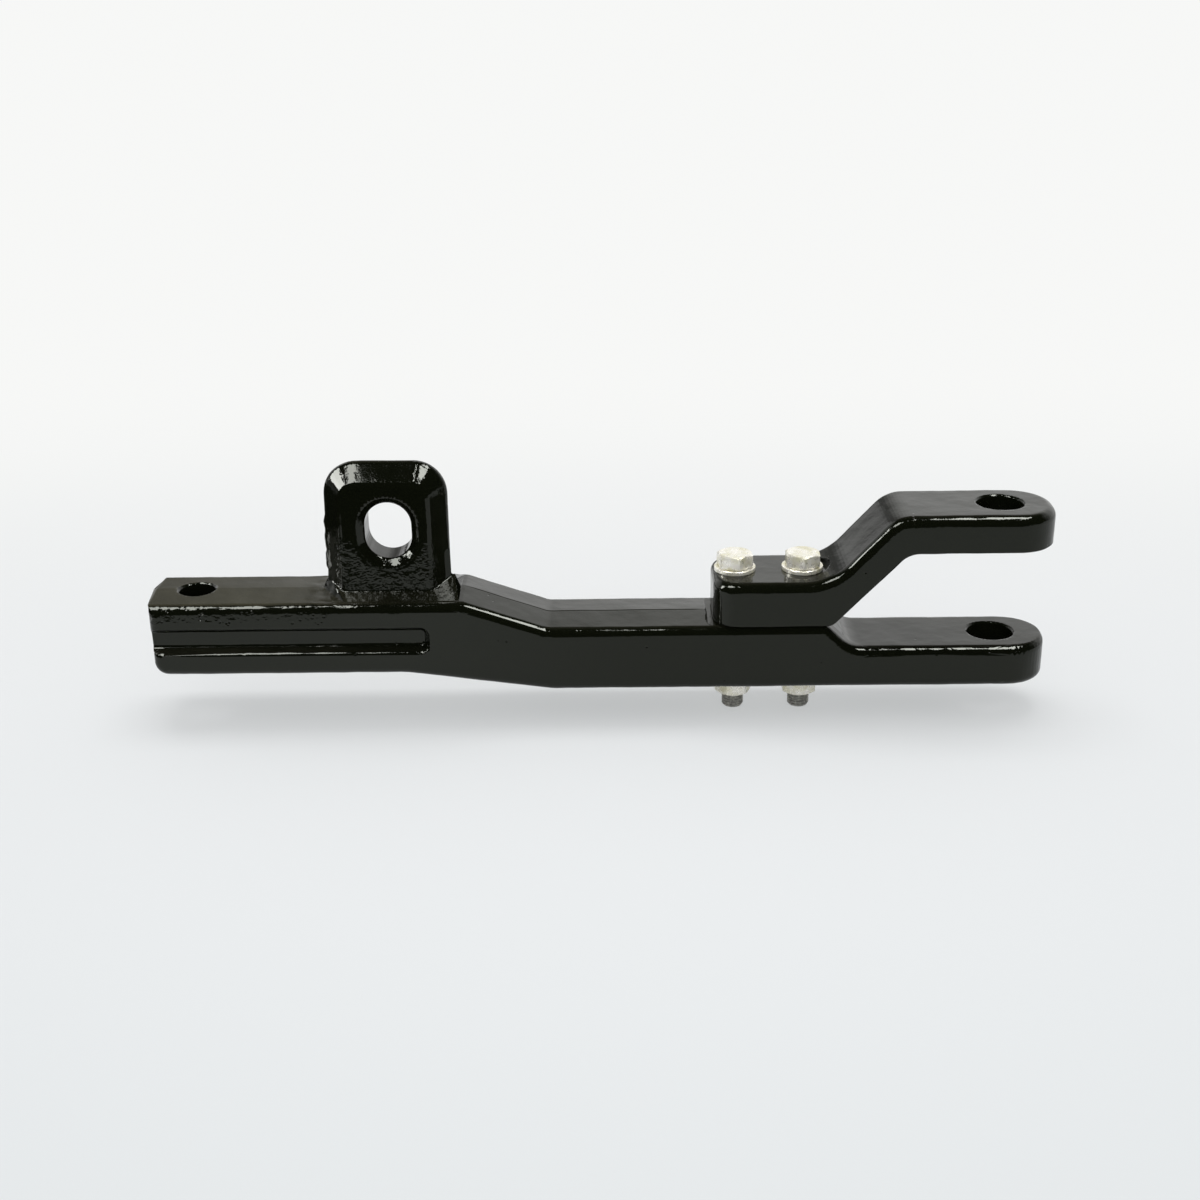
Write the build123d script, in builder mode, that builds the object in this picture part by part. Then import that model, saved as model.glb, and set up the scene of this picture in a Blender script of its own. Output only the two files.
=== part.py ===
"""Tractor drawbar with a bolted clevis jaw: eight pieces, in millimetres.

Frame: the origin is on the axis of the tractor pivot hole, halfway up the
front section. The bar runs back along +X to the clevis jaw, +Z is up and
Y = 0 is the plane of symmetry.
"""
from build123d import *
from math import cos, radians, tan
import os

os.makedirs("parts", exist_ok=True)

# Bar: a forging parted on Y = 0, so its top and underside rise to a ridge there
bar_width = 64.0
bar_draft = 4.0                      # degrees, on every face drawn from the dies
bar_edge = 6.5                       # radius of the long edges
pivot_to_pin = 581.0                 # tractor pivot hole to clevis pin
pivot_end = 31.5                     # pivot hole to the ridge of the front end
front_top = 29.25                    # ridge heights of the front section
front_underside = -29.25
rear_top = 8.5                       # ridge heights behind the joggle
rear_underside = -43.5
pivot_to_joggle = 196.5              # where its top starts down
top_joggle_run = 59.5
underside_joggle_lead = 42.5         # the underside starts down this much earlier
underside_joggle_lag = 3.0           # and ends this much later
joggle_blend = 15.0
underside_blend = 60.0
front_corner = 12.0                  # lower corner of the front end

# Milled faces: the jaw's seat, the lower ear and the underside below both
milled_underside = -41.75
seat_height = 6.75
ear_top = -10.75
seat_to_pin = 123.0                  # back of the seat, where the shoulder goes down to the ear
shoulder_run = 18.5
shoulder_blend = 18.0
seat_runout = 4.5                    # how far the cutters ran on ahead of the jaw
underside_runout = 17.0
cutter_corner = 25.0
cutter_clearance = 10.0              # how far cuts run on past the metal

# Ears and their holes
pin_hole_radius = 16.5               # for a 30 mm clevis pin
lower_ear_reach = 38.2               # from the pin to the end of the ear
upper_ear_reach = 38.8
lower_ear_flat = 4.0                 # straight part of its end, between the round corners
upper_ear_flat = 6.5
throat = 72.0                        # open height between the ears
upper_ear_thickness = 27.5
hole_chamfer = 1.2
pivot_hole_radius = 12.75            # for a 25 mm pivot pin
pivot_wall = 54.5                    # straight wall of the pivot hole
pivot_rim_slope = 45.0               # degrees, of its countersunk rims

# Side grooves, one on each side of the front section
groove_bottom = -10.75
groove_top = 9.75
groove_back = 172.0
groove_depth = 7.0
groove_draft = 32.0                  # degrees
groove_corner = 7.0
groove_root = 2.5

# Lug standing on the front section, bevelled all round, with a slotted eye
eye_x = 144.0
eye_height = 76.25
eye_width = 33.5
eye_tall = 42.0
eye_mouth = 5.0
eye_to_front = 49.5                  # from the eye to the lug's outline, at the foot and the top
eye_to_front_top = 47.5
eye_to_back = 44.3
eye_to_top = 50.5
lug_root = -5.75                     # its outline is carried down inside the bar
lug_corner = 26.0
lug_thickness = 31.5
lug_bevel = 43.0                     # degrees
lug_ridge = 5.0                      # rounding of the ridge at the parting plane
lug_face_edge = 1.5
foot_slope = 23.5                    # degrees, of the sides of the foot it grows out of
foot_lean = 22.0                     # degrees, of its ends
foot_point = 3.0                     # how far its point stands out in front of the lug
foot_shoulder = 45.0                 # how far the point's sides run back over a bar's width
foot_heel = 4.5                      # how far it stands out behind the lug
foot_side = 2.0                      # how far its sides run on inside the bar
foot_blend = 1.5

# Upper jaw: pad on the seat, sloping arm and upper ear
jaw_width = 66.5
jaw_nose = 16.5                      # from the front bolt to the front of the pad
jaw_front_corner = 18.0
pad_thickness = 33.0
jaw_edge = 7.0                       # rounding of its upper rims
jaw_under_edge = 1.5                 # chamfer of its lower rims
pad_overhang = 2.6                   # where the arm's underside leaves the seat
arm_under_run = 52.6                 # the slope of the arm, underside and top
arm_top_lead = 1.7
arm_top_run = 45.2
arm_heel = 10.0                      # radii from the pad up to the ear
arm_armpit = 18.0
arm_shoulder = 25.0
arm_lap = 42.0
spotface_radius = 20.0

# Two M16 bolts with washers and lock nuts, standing on the plane of symmetry
bolt_to_seat_back = 16.5
bolt_pitch = 49.0
bolt_radius = 8.0
bolt_hole_radius = 8.75
bolt_length = 111.0                  # under the head
bolt_tip_chamfer = 1.5
hex_width = 24.0                     # across the flats of heads and nuts
head_height = 10.0
head_collar = 0.6                    # raised ring under the head
head_collar_radius = 11.2
nut_height = 15.0
hex_chamfer_angle = 30.0
bolt_hole_chamfer = 1.0
washer_radius = 15.0
washer_hole_radius = 8.5
washer_thickness = 3.0
front_head_turn = 39.5               # degrees, how each was left when it was tightened
rear_head_turn = 30.0
front_nut_turn = 8.0
rear_nut_turn = 30.0

# Sizes that follow from those above
front_end = -pivot_end
half_bar = bar_width / 2
half_jaw = jaw_width / 2
upper_ear_underside = ear_top + throat
upper_ear_top = upper_ear_underside + upper_ear_thickness
pad_top = seat_height + pad_thickness
crown_milled = rear_top - seat_height
head_seat = pad_top + washer_thickness
lower_ear_corner = half_bar - lower_ear_flat / 2
upper_ear_corner = half_jaw - upper_ear_flat / 2
top_joggle_start = pivot_to_joggle
top_joggle_end = top_joggle_start + top_joggle_run
underside_joggle_start = top_joggle_start - underside_joggle_lead
underside_joggle_end = top_joggle_end + underside_joggle_lag
seat_back = pivot_to_pin - seat_to_pin
shoulder_foot = seat_back + shoulder_run
lower_ear_end = pivot_to_pin + lower_ear_reach
upper_ear_end = pivot_to_pin + upper_ear_reach
rear_bolt_x = seat_back - bolt_to_seat_back
front_bolt_x = rear_bolt_x - bolt_pitch
jaw_front = front_bolt_x - jaw_nose
seat_front = jaw_front - seat_runout
underside_front = jaw_front - underside_runout
arm_under_start = seat_back + pad_overhang
arm_under_end = arm_under_start + arm_under_run
arm_top_start = arm_under_start - arm_top_lead
arm_top_end = arm_top_start + arm_top_run
lug_front = eye_x - eye_to_front
lug_back = eye_x + eye_to_back
lug_top = eye_height + eye_to_top
foot_half_width = half_bar - bar_edge
foot_edge = front_top - foot_half_width * tan(radians(bar_draft))
foot_ridge = foot_edge + foot_half_width * tan(radians(foot_slope))
foot_root = front_top - cutter_clearance
foot_spread = cutter_clearance * tan(radians(foot_lean))
hex_corner_radius = hex_width / 2 / cos(radians(30))


def vertex_at(sketch, x, y):
    """The corner of a sketch nearest a point."""
    return sketch.vertices().sort_by_distance((x, y))[0]


def off_plane(edge):
    """The furthest an edge gets from the plane of symmetry."""
    return max(abs((edge @ t).Y) for t in (0.0, 0.5, 1.0))


def is_upright(edge):
    """True for a straight edge along Z."""
    return edge.geom_type == GeomType.LINE and abs((edge % 0.5).Z) > 0.999


def is_rim(edge, radius):
    """True for a round edge of a hole of this radius."""
    return edge.geom_type == GeomType.CIRCLE and abs(edge.radius - radius) < 0.01


def is_crossing(edge, half_width):
    """True for a straight or bent edge that crosses from one side to the other."""
    return edge.geom_type == GeomType.LINE and abs((edge % 0.5).Y) > 0.999 and edge.length > half_width


def meets_foot(edge, half_width, top):
    """True for an edge of the lug just above the bar, below the ridge of its foot."""
    low = all(front_top - cutter_clearance < (edge @ t).Z < top + 0.01 for t in (0.0, 0.5, 1.0))
    return low and off_plane(edge) < half_width + 0.01


def is_upper(edge):
    """True for an edge of the jaw above the middle of its section."""
    along = ((edge @ 0.5).X - arm_under_start) / (arm_under_end - arm_under_start)
    pad_middle = seat_height + pad_thickness / 2
    ear_middle = upper_ear_underside + upper_ear_thickness / 2
    return (edge @ 0.5).Z > pad_middle + min(max(along, 0), 1) * (ear_middle - pad_middle)


def along_bar(edge, half_width, ear_start):
    """True for a long edge of a forging, running on round the end of its ear."""
    on_side = min(abs((edge @ t).Y) for t in (0.0, 0.5, 1.0)) > half_width - 0.01
    round_end = min((edge @ t).X for t in (0.0, 1.0)) > ear_start - 0.01
    return (on_side or round_end) and off_plane(edge) > 1.0 and not is_upright(edge)


# Foot of the lug: a low roof along the bar, pointed in front and square behind
with BuildPart() as lug_foot:
    with BuildSketch(Plane.YZ.offset(lug_front - cutter_clearance)):
        with BuildLine():
            Polyline(
                (-foot_half_width - foot_side, foot_root),
                (-foot_half_width - foot_side, foot_edge - foot_side * tan(radians(foot_slope))),
                (0, foot_ridge),
                (foot_half_width + foot_side, foot_edge - foot_side * tan(radians(foot_slope))),
                (foot_half_width + foot_side, foot_root),
                close=True,
            )
        make_face()
    extrude(amount=lug_back - lug_front + 2 * cutter_clearance)
    with BuildSketch(Plane.XY.offset(foot_root)):
        with BuildLine():
            Polyline(
                (lug_front - foot_point - foot_spread, 0),
                (lug_front + foot_shoulder - foot_spread, -bar_width),
                (lug_back + foot_heel + foot_spread, -bar_width),
                (lug_back + foot_heel + foot_spread, bar_width),
                (lug_front + foot_shoulder - foot_spread, bar_width),
                close=True,
            )
        make_face()
    extrude(amount=foot_ridge - foot_root, taper=foot_lean, mode=Mode.INTERSECT)

# Lug, shaped on its own so that its bevels and eye are finished before it joins the bar
with BuildPart() as lug:
    with BuildSketch(Plane.XZ) as lug_view:
        with BuildLine():
            Polyline(
                (lug_front, lug_root),
                (eye_x - eye_to_front_top, lug_top),
                (lug_back, lug_top),
                (lug_back, lug_root),
                close=True,
            )
        make_face()
        fillet(lug_view.vertices().group_by(Axis.Y)[-1], lug_corner)
    extrude(amount=lug_thickness / 2, both=True, taper=lug_bevel)
    fillet(lug.edges().filter_by(lambda e: off_plane(e) < 0.01 and (e @ 0.5).Z > lug_root + 1), lug_ridge)
    faces_out = lug.faces().filter_by(Axis.Y)
    chamfer(faces_out.edges().filter_by(lambda e: (e @ 0.5).Z > front_top), lug_face_edge)
    add(lug_foot.part)
    joint = lug.edges().filter_by(lambda e: meets_foot(e, lug_thickness / 2, foot_ridge))
    fillet(joint, foot_blend)
    with BuildSketch(Plane.XZ) as eye_view:
        with Locations((eye_x, eye_height)):
            SlotOverall(eye_tall, eye_width, rotation=90)
    extrude(amount=lug_thickness, both=True, mode=Mode.SUBTRACT)
    eye_rims = lug.edges().filter_by(
        lambda e: min(abs((e @ t).Y) for t in (0.0, 0.5, 1.0)) > lug_thickness / 2 - 0.01
        and Vector((e @ 0.5).X - eye_x, (e @ 0.5).Z - eye_height).length < eye_tall / 2 + 1
    )
    chamfer(eye_rims, eye_mouth)

# Drawbar
with BuildPart() as drawbar:
    # Side view at the parting plane, drawn both ways with draft
    with BuildSketch(Plane.XZ) as side_view:
        with BuildLine():
            Polyline(
                (front_end, front_top),
                (top_joggle_start, front_top),
                (top_joggle_end, rear_top),
                (seat_back, rear_top),
                (shoulder_foot, ear_top + crown_milled),
                (lower_ear_end + cutter_clearance, ear_top + crown_milled),
                (lower_ear_end + cutter_clearance, rear_underside),
                (underside_joggle_end, rear_underside),
                (underside_joggle_start, front_underside),
                (front_end, front_underside),
                close=True,
            )
        make_face()
        fillet(vertex_at(side_view, front_end, front_underside), front_corner)
        fillet(vertex_at(side_view, top_joggle_start, front_top), joggle_blend)
        fillet(vertex_at(side_view, top_joggle_end, rear_top), joggle_blend)
        fillet(vertex_at(side_view, seat_back, rear_top), joggle_blend)
        fillet(vertex_at(side_view, shoulder_foot, ear_top + crown_milled), shoulder_blend)
        fillet(vertex_at(side_view, underside_joggle_end, rear_underside), underside_blend)
        fillet(vertex_at(side_view, underside_joggle_start, front_underside), underside_blend)
    extrude(amount=half_bar + 1, both=True, taper=bar_draft)

    # Plan view: flat sides and a rounded ear
    with BuildSketch(Plane.XY.offset(rear_underside - cutter_clearance)) as plan_view:
        with Locations(((front_end + lower_ear_end - cutter_clearance) / 2, 0)):
            Rectangle(lower_ear_end - front_end + cutter_clearance, bar_width)
        fillet(plan_view.vertices().group_by(Axis.X)[-1], lower_ear_corner)
    extrude(amount=front_top - rear_underside + 2 * cutter_clearance, mode=Mode.INTERSECT)

    # Long edges and the upright edges of the front end
    long_edges = drawbar.edges().filter_by(
        lambda e: along_bar(e, half_bar, lower_ear_end - lower_ear_corner)
    )
    nose = drawbar.edges().filter_by(lambda e: is_upright(e) and (e @ 0.5).X < 0 and off_plane(e) > 1)
    fillet(long_edges + nose, bar_edge)

    # Milled seat, shoulder and ear top, and the milled underside below them
    with BuildSketch(Plane.XY.offset(seat_height)) as seat_view:
        with Locations(((seat_front + seat_back) / 2 - joggle_blend, 0)):
            Rectangle(seat_back - seat_front - 2 * joggle_blend, bar_width + 2 * cutter_clearance)
        fillet(seat_view.vertices().group_by(Axis.X)[0], cutter_corner)
    extrude(amount=cutter_clearance, mode=Mode.SUBTRACT)
    with BuildSketch(Plane.XZ) as throat_view:
        with BuildLine():
            Polyline(
                (seat_back - 2 * joggle_blend, seat_height),
                (seat_back, seat_height),
                (shoulder_foot, ear_top),
                (lower_ear_end + cutter_clearance, ear_top),
                (lower_ear_end + cutter_clearance, front_top),
                (seat_back - 2 * joggle_blend, front_top),
                close=True,
            )
        make_face()
        fillet(vertex_at(throat_view, seat_back, seat_height), joggle_blend)
        fillet(vertex_at(throat_view, shoulder_foot, ear_top), shoulder_blend)
    extrude(amount=bar_width, both=True, mode=Mode.SUBTRACT)
    with BuildSketch(Plane.XY.offset(milled_underside)) as underside_view:
        with Locations(((underside_front + lower_ear_end + cutter_clearance) / 2, 0)):
            Rectangle(
                lower_ear_end + cutter_clearance - underside_front,
                bar_width + 2 * cutter_clearance,
            )
        fillet(underside_view.vertices().group_by(Axis.X)[0], cutter_corner)
    extrude(amount=-cutter_clearance, mode=Mode.SUBTRACT)

    # Groove along each side of the front section, open at the front end
    for side in (Plane.XZ.offset(half_bar), Plane.XZ.offset(-half_bar)):
        inward = -groove_depth if side.origin.Y < 0 else groove_depth
        with BuildSketch(side) as groove_view:
            with Locations(
                ((front_end - 2 * cutter_clearance + groove_back) / 2, (groove_bottom + groove_top) / 2)
            ):
                Rectangle(
                    groove_back - front_end + 2 * cutter_clearance,
                    groove_top - groove_bottom,
                )
            fillet(groove_view.vertices().group_by(Axis.X)[-1], groove_corner)
        extrude(amount=inward, taper=groove_draft, mode=Mode.SUBTRACT)
    floor_plane = half_bar - groove_depth
    groove_floor = drawbar.edges().filter_by(
        lambda e: all(abs(abs((e @ t).Y) - floor_plane) < 0.01 for t in (0.0, 0.5, 1.0))
        and 0 < (e @ 0.5).X < groove_back
    )
    fillet(groove_floor, groove_root)

    # The lug, whose foot dies out into the ridged top
    add(lug.part)

    # Clevis pin hole and tractor pivot hole
    with BuildSketch(Plane.XY.offset(ear_top)):
        with Locations((pivot_to_pin, 0)):
            Circle(pin_hole_radius)
    extrude(amount=milled_underside - ear_top, mode=Mode.SUBTRACT)
    with BuildSketch(Plane.XY):
        Circle(pivot_hole_radius)
    extrude(amount=front_top, both=True, mode=Mode.SUBTRACT)
    for rim in (Plane.XY.offset(pivot_wall / 2), Plane.XY.offset(-pivot_wall / 2)):
        outward = 1 if rim.origin.Z > 0 else -1
        with BuildSketch(rim):
            Circle(pivot_hole_radius)
        extrude(amount=outward * cutter_clearance, taper=-pivot_rim_slope, mode=Mode.SUBTRACT)
    with BuildSketch(Plane.XY.offset(seat_height)):
        with Locations((front_bolt_x, 0), (rear_bolt_x, 0)):
            Circle(bolt_hole_radius)
    extrude(amount=milled_underside - seat_height, mode=Mode.SUBTRACT)
    chamfer(drawbar.edges().filter_by(lambda e: is_rim(e, pin_hole_radius)), hole_chamfer)
    chamfer(drawbar.edges().filter_by(lambda e: is_rim(e, bolt_hole_radius)), bolt_hole_chamfer)
drawbar.part.label = "drawbar"
export_step(drawbar.part, "parts/drawbar.step")

# Upper jaw
with BuildPart() as upper_jaw:
    with BuildSketch(Plane.XZ) as jaw_view:
        with BuildLine():
            Polyline(
                (jaw_front, seat_height),
                (arm_under_start, seat_height),
                (arm_under_end, upper_ear_underside),
                (upper_ear_end, upper_ear_underside),
                (upper_ear_end, upper_ear_top),
                (arm_top_end, upper_ear_top),
                (arm_top_start, pad_top),
                (jaw_front, pad_top),
                close=True,
            )
        make_face()
        fillet(vertex_at(jaw_view, arm_under_start, seat_height), arm_heel)
        fillet(vertex_at(jaw_view, arm_under_end, upper_ear_underside), arm_armpit)
        fillet(vertex_at(jaw_view, arm_top_end, upper_ear_top), arm_shoulder)
        fillet(vertex_at(jaw_view, arm_top_start, pad_top), arm_lap)
    extrude(amount=half_jaw + 1, both=True)

    # Plan view: rounded at the pad and more fully at the ear
    with BuildSketch(Plane.XY.offset(seat_height - 1)) as jaw_plan:
        with Locations(((jaw_front + upper_ear_end) / 2, 0)):
            Rectangle(upper_ear_end - jaw_front, jaw_width)
        fillet(jaw_plan.vertices().group_by(Axis.X)[0], jaw_front_corner)
        fillet(jaw_plan.vertices().group_by(Axis.X)[-1], upper_ear_corner)
    extrude(amount=upper_ear_top - seat_height + 2, mode=Mode.INTERSECT)
    rims = upper_jaw.edges().filter_by(lambda e: not is_upright(e) and not is_crossing(e, half_jaw))
    chamfer(rims.filter_by(lambda e: not is_upper(e)), jaw_under_edge)
    rims = upper_jaw.edges().filter_by(lambda e: not is_upright(e) and not is_crossing(e, half_jaw))
    fillet(rims.filter_by(is_upper), jaw_edge)

    # Round clearance for the rear bolt's head where the arm leaves the pad
    with BuildSketch(Plane.XY.offset(pad_top)):
        with Locations((rear_bolt_x, 0)):
            Circle(spotface_radius)
    extrude(amount=upper_ear_thickness, mode=Mode.SUBTRACT)

    # Clevis pin hole and bolt holes
    with BuildSketch(Plane.XY.offset(upper_ear_top)):
        with Locations((pivot_to_pin, 0)):
            Circle(pin_hole_radius)
    extrude(amount=-upper_ear_thickness, mode=Mode.SUBTRACT)
    with BuildSketch(Plane.XY.offset(pad_top)):
        with Locations((front_bolt_x, 0), (rear_bolt_x, 0)):
            Circle(bolt_hole_radius)
    extrude(amount=-pad_thickness, mode=Mode.SUBTRACT)
    chamfer(upper_jaw.edges().filter_by(lambda e: is_rim(e, pin_hole_radius)), hole_chamfer)
    chamfer(upper_jaw.edges().filter_by(lambda e: is_rim(e, bolt_hole_radius)), bolt_hole_chamfer)
upper_jaw.part.label = "upper_jaw"
export_step(upper_jaw.part, "parts/upper_jaw.step")

# Bolts down through the pad and the bar, washers under their heads and lock nuts below
for name, bolt_x, head_turn, nut_turn in (
    ("front", front_bolt_x, front_head_turn, front_nut_turn),
    ("rear", rear_bolt_x, rear_head_turn, rear_nut_turn),
):
    with BuildPart() as jaw_bolt:
        with BuildSketch(Plane.XY.offset(head_seat)):
            with Locations((bolt_x, 0)):
                Circle(head_collar_radius)
        extrude(amount=head_collar)
        with BuildSketch(Plane.XY.offset(head_seat + head_collar)):
            with Locations((bolt_x, 0)):
                RegularPolygon(hex_corner_radius, 6, rotation=head_turn)
        extrude(amount=head_height - head_collar)
        with BuildSketch(Plane.XY.offset(head_seat + head_height)):
            with Locations((bolt_x, 0)):
                Circle(hex_width / 2)
        extrude(amount=-head_height, taper=hex_chamfer_angle - 90, mode=Mode.INTERSECT)
        with BuildSketch(Plane.XY.offset(head_seat)):
            with Locations((bolt_x, 0)):
                Circle(bolt_radius)
        extrude(amount=-bolt_length)
        chamfer(jaw_bolt.faces().sort_by(Axis.Z)[0].edges(), bolt_tip_chamfer)
    jaw_bolt.part.label = f"{name}_jaw_bolt"
    export_step(jaw_bolt.part, f"parts/{name}_jaw_bolt.step")

    with BuildPart() as washer:
        with BuildSketch(Plane.XY.offset(pad_top)):
            with Locations((bolt_x, 0)):
                Circle(washer_radius)
        extrude(amount=washer_thickness)
        with BuildSketch(Plane.XY.offset(pad_top)):
            with Locations((bolt_x, 0)):
                Circle(washer_hole_radius)
        extrude(amount=washer_thickness, mode=Mode.SUBTRACT)
    washer.part.label = f"{name}_washer"
    export_step(washer.part, f"parts/{name}_washer.step")

    with BuildPart() as lock_nut:
        with BuildSketch(Plane.XY.offset(milled_underside)):
            with Locations((bolt_x, 0)):
                RegularPolygon(hex_corner_radius, 6, rotation=nut_turn)
        extrude(amount=-nut_height)
        for end, away in ((milled_underside, -nut_height), (milled_underside - nut_height, nut_height)):
            with BuildSketch(Plane.XY.offset(end)):
                with Locations((bolt_x, 0)):
                    Circle(hex_width / 2)
            extrude(amount=away, taper=hex_chamfer_angle - 90, mode=Mode.INTERSECT)
        with BuildSketch(Plane.XY.offset(milled_underside)):
            with Locations((bolt_x, 0)):
                Circle(bolt_radius)
        extrude(amount=-nut_height, mode=Mode.SUBTRACT)
    lock_nut.part.label = f"{name}_lock_nut"
    export_step(lock_nut.part, f"parts/{name}_lock_nut.step")
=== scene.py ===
"""Looks of a forged tractor drawbar with a bolted clevis jaw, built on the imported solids.

Units are metres. The frame is that of the solids: origin on the axis of the tractor
pivot hole, +X back to the clevis, +Z up and Y = 0 the plane of symmetry.
"""

import logging
import math
from dataclasses import dataclass, field
from enum import Enum

import bmesh
import bpy
from mathutils import Matrix, Vector, noise


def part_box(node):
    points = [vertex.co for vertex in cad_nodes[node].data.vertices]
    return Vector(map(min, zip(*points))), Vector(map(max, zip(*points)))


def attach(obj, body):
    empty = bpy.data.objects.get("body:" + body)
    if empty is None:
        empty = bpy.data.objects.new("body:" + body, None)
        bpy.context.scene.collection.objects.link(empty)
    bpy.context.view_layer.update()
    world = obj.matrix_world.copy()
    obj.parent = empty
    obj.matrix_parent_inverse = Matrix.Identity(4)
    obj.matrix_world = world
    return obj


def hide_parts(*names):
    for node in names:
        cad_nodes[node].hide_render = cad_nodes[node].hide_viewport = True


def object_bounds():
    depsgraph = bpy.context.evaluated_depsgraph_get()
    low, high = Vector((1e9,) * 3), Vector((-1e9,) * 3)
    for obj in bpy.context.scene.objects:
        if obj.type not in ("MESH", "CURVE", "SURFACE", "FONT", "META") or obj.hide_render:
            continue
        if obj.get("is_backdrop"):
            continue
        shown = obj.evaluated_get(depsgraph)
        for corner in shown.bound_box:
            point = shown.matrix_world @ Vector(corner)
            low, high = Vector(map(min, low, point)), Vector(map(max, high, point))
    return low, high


MM = 0.001
BODY = "root"

SHARP = math.radians(40)  # an edge that may be rounded
FLAT = math.radians(0.5)  # neighbours that lie in one plane
FLAT_WEIGHT = 60  # how much large faces rule the normals beside them
MERGE = 0.002 * MM  # corners of the solids' loose triangles that are one
ON_CUT = 0.0001 * MM  # corners that lie in the plane of a cut

# Places on the skin of the drawbar. The boxes are mirrored in Y, as the part is, and
# end in the width over which they fade or in a radius
LAND_ABOVE_GROOVE = ((-0.040, 0.026, 0.0135), (0.100, 0.040, 0.0235), 5 * MM)
LUG_FACE = ((0.098, 0.012, 0.033), (0.190, 0.020, 0.068), 12 * MM)
FOOT_END = ((0.184, -0.001, 0.0275), (0.203, 0.040, 0.058), 4 * MM)
GROOVE_RIM = ((-0.060, 0.030, -0.0125), (0.164, 0.036, -0.0092), 1.5 * MM)
EYE_CENTRE = (0.144, 0.0763)
EYE_MOUTH = (0.0235, 0.0275)
EYE_SURROUND = (0.0245, 0.0285)

log = logging.getLogger("drawbar")


class Axis(Enum):
    """The three directions in which a skin is cut into cells."""

    X = 0
    Y = 1
    Z = 2


class Slot(Enum):
    """Material slots of the record."""

    PAINT = "black_paint"
    STEEL = "dark_steel"
    ZINC = "zinc"


class Reach(Enum):
    """What a lamp shows on."""

    MATT = "matt surfaces alone, without a mirror image of the lamp"
    GLOSS = "the gloss alone, as its mirror image"


# ---------------------------------------------------------------- finishes


class Wiring:
    """A node tree being wired, with short calls for the nodes used here."""

    def __init__(self, tree: bpy.types.NodeTree) -> None:
        """Takes up a node tree.

        Args:
            tree: The tree.
        """
        self.tree = tree

    def node(self, kind: str, **settings: object) -> bpy.types.Node:
        """Adds a node.

        Args:
            kind: Type name of the node.
            settings: Properties of the node to set.

        Returns:
            The node.
        """
        node = self.tree.nodes.new(kind)
        for key, value in settings.items():
            setattr(node, key, value)
        return node

    def feed(self, socket: bpy.types.NodeSocket, value: object) -> None:
        """Links or sets an input socket, whichever the value calls for.

        Args:
            socket: The input.
            value: Socket to link, or constant to set.
        """
        if isinstance(value, bpy.types.NodeSocket):
            self.tree.links.new(value, socket)
        else:
            socket.default_value = value

    def maths(self, operation: str, *values: object) -> bpy.types.NodeSocket:
        """Adds a Math node.

        Args:
            operation: Name of its operation.
            values: Sockets or numbers for its inputs, in order.

        Returns:
            Its result.
        """
        node = self.node("ShaderNodeMath", operation=operation)
        for socket, value in zip(node.inputs, values):
            self.feed(socket, value)
        return node.outputs[0]

    def product(self, first: object, *others: object) -> bpy.types.NodeSocket:
        """Multiplies sockets or numbers.

        Args:
            first: The first factor.
            others: The other factors.

        Returns:
            The product.
        """
        for other in others:
            first = self.maths("MULTIPLY", first, other)
        return first

    def mix(self, share: object, first: object, second: object) -> bpy.types.NodeSocket:
        """Mixes two numbers.

        Args:
            share: Share of the second.
            first: Number or socket.
            second: Number or socket.

        Returns:
            The mixed number.
        """
        node = self.node("ShaderNodeMix")
        for socket, value in ((node.inputs[0], share), (node.inputs[2], first), (node.inputs[3], second)):
            self.feed(socket, value)
        return node.outputs[0]

    def parts(self, vector: bpy.types.NodeSocket) -> list[bpy.types.NodeSocket]:
        """Splits a vector.

        Args:
            vector: The vector's socket.

        Returns:
            Its X, Y and Z.
        """
        node = self.node("ShaderNodeSeparateXYZ")
        self.feed(node.inputs[0], vector)
        return list(node.outputs)

    def ramp(
        self, value: object, low: float, high: float, start: float = 0.0, end: float = 1.0
    ) -> bpy.types.NodeSocket:
        """Maps a value from one range to another with a smooth step, held at the ends.

        Args:
            value: Socket or number to map.
            low: Start of the range that is read.
            high: End of the range that is read.
            start: Result at the start.
            end: Result at the end.

        Returns:
            The result socket.
        """
        node = self.node("ShaderNodeMapRange", interpolation_type="SMOOTHSTEP")
        for name, number in (
            ("Value", value),
            ("From Min", low),
            ("From Max", high),
            ("To Min", start),
            ("To Max", end),
        ):
            self.feed(node.inputs[name], number)
        return node.outputs["Result"]


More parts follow.
